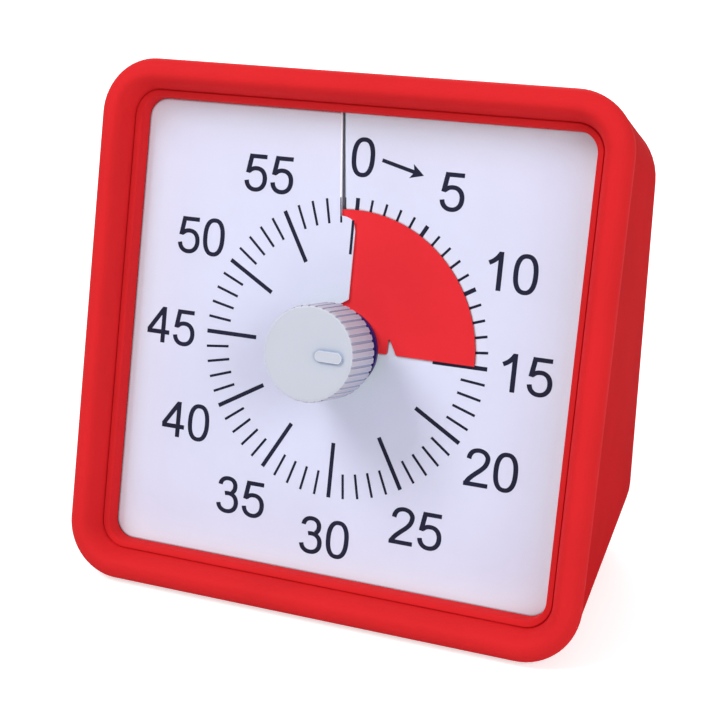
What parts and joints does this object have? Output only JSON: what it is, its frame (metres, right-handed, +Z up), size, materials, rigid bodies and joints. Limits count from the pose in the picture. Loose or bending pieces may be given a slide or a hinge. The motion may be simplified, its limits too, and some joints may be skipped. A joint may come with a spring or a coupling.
{
  "type": "visual countdown timer",
  "caption": "Square desk countdown timer: leaning dial with slit card, red film disc turned by a fluted centre knob, battery movement and alarm in a moulded case.",
  "frame": {"origin": "middle of the bottom of the whole box, on the surface that the feet stand on", "axes": "+Z up, the dial faces -Y and leans back, +X to the right as seen from the front"},
  "size_m": [0.1802, 0.1024, 0.1715],
  "materials": {
    "bezel_red": "satin moulded ABS",
    "housing_red": "fine-textured moulded ABS",
    "plate_white": "moulded polystyrene",
    "card_white": "semi-matt printed sheet",
    "film_red": "matt plastic film",
    "hub_navy": "dark moulded plastic",
    "knob_grey": "satin moulded ABS",
    "steel": "bright steel",
    "brass": "turned brass",
    "case_dark": "moulded plastic",
    "gear_cream": "acetal",
    "magnet": "sintered magnet with moulded pinion",
    "bobbin_green": "moulded nylon",
    "copper": "enamelled copper wire",
    "board_green": "solder-masked board",
    "chip_black": "moulded component bodies",
    "buzzer_black": "moulded case",
    "slider_black": "moulded nylon",
    "cell_wrap": "printed sleeve without marks",
    "nickel": "nickel-plated spring steel",
    "rubber": "moulded rubber"
  },
  "bodies": {
    "case": {"front_bezel": "bezel_red", "rear_housing": "housing_red", "dial_plate": "plate_white", "dial_card": "card_white", "spindle_bush": "brass", "bush_nut": "brass", "movement_plate": "case_dark", "movement_cover": "case_dark", "stator": "steel", "coil_bobbin": "bobbin_green", "coil_winding": "copper", "circuit_board": "board_green", "board_parts": "chip_black", "buzzer": "buzzer_black", "switch_body": "nickel", "battery": "cell_wrap", "battery_spring": "nickel", "battery_contact": "nickel", "housing_screws": "steel", "plate_screws": "steel", "movement_screws": "steel", "board_screws": "steel", "rubber_feet": "rubber"},
    "knob": {"knob": "knob_grey", "disc_hub": "hub_navy", "spindle": "steel", "spindle_clip": "nickel", "clutch_spring": "nickel"},
    "disc": {"time_disc": "film_red"},
    "output": {"output_wheel": "gear_cream"},
    "third": {"third_wheel": "gear_cream"},
    "intermediate": {"intermediate_wheel": "gear_cream"},
    "rotor": {"rotor": "magnet"},
    "door": {"battery_door": "housing_red"},
    "slider": {"switch_slider": "slider_black"}
  },
  "joints": [
    {"name": "knob_turn", "type": "hinge", "parent": "case", "child": "knob", "pos_m": [0, -0.04402, 0.09131], "axis": [0, 0.9659, -0.2588], "range_deg": [-90, 270]},
    {"name": "disc_pass", "type": "slide", "parent": "knob", "child": "disc", "axis": [0, -0.9659, 0.2588], "range_m": [-0.00041, 0.00121]},
    {"name": "rotor_spin", "type": "hinge", "parent": "case", "child": "rotor", "pos_m": [0.00004, -0.0067, 0.05519], "axis": [0, 0.9659, -0.2588], "continuous": true},
    {"name": "intermediate_spin", "type": "hinge", "parent": "case", "child": "intermediate", "pos_m": [-0.01277, -0.00611, 0.05737], "axis": [0, 0.9659, -0.2588], "continuous": true},
    {"name": "third_spin", "type": "hinge", "parent": "case", "child": "third", "pos_m": [-0.01277, -0.00275, 0.06993], "axis": [0, 0.9659, -0.2588], "continuous": true},
    {"name": "output_spin", "type": "hinge", "parent": "case", "child": "output", "pos_m": [0, -0.00017, 0.07956], "axis": [0, 0.9659, -0.2588], "continuous": true},
    {"name": "door_swing", "type": "hinge", "parent": "case", "child": "door", "pos_m": [0, 0.05119, 0.01825], "axis": [-1, 0, 0], "range_deg": [0, 95]},
    {"name": "switch_slide", "type": "slide", "parent": "case", "child": "slider", "axis": [1, 0, 0], "range_m": [-0.002, 0.002]}
  ],
  "couplings": [
    {"joint": "disc_pass", "follows": "knob_turn", "m_per_rad": 0.00025465},
    {"joint": "intermediate_spin", "follows": "rotor_spin", "ratio": -0.083333},
    {"joint": "third_spin", "follows": "rotor_spin", "ratio": 0.0069444},
    {"joint": "output_spin", "follows": "rotor_spin", "ratio": -0.00055556}
  ]
}
